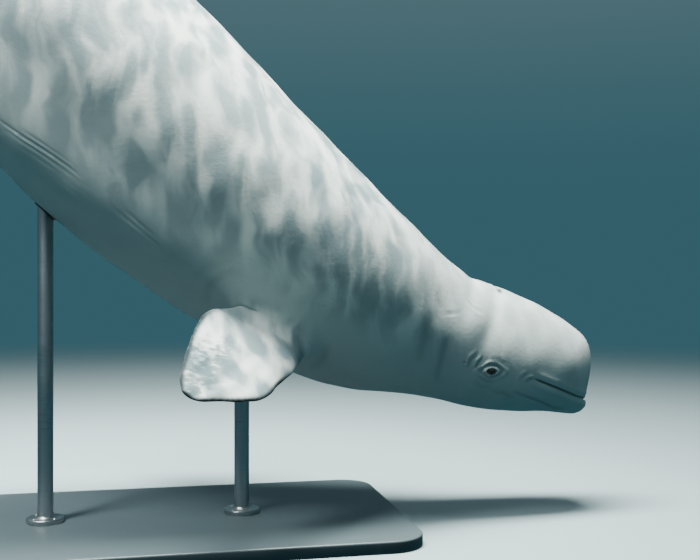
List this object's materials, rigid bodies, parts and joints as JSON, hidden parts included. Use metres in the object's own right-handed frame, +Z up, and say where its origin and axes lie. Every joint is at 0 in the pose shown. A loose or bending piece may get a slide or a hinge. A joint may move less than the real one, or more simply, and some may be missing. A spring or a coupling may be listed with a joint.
{
  "type": "beluga whale",
  "caption": "Life-size adult beluga whale in a gentle dive, head raised and flippers spread, held over a flat base by upright rods.",
  "frame": {"origin": "centre of the underside of the stand's base, on the floor", "axes": "+X the way the whale faces, +Y its left side, +Z up; the body is symmetric about Y = 0, the two flippers are posed differently"},
  "size_m": [3.668, 1.4526, 2.6694],
  "materials": {
    "skin": "satin",
    "eye": "gloss",
    "base": "lacquered, satin",
    "rod": "brushed"
  },
  "bodies": {
    "root": {"head": "skin", "melon": "skin", "lower_jaw": "skin", "neck": "skin", "chest": "skin", "torso": "skin", "loin": "skin", "tail_stock": "skin", "flipper_right": "skin", "flipper_left": "skin", "fluke_right": "skin", "fluke_left": "skin", "eye_right": "eye", "eye_left": "eye", "stand_base": "base", "stand_rod_front": "rod", "stand_rod_rear": "rod", "stand_collar_front": "rod", "stand_collar_rear": "rod"}
  },
  "joints": []
}
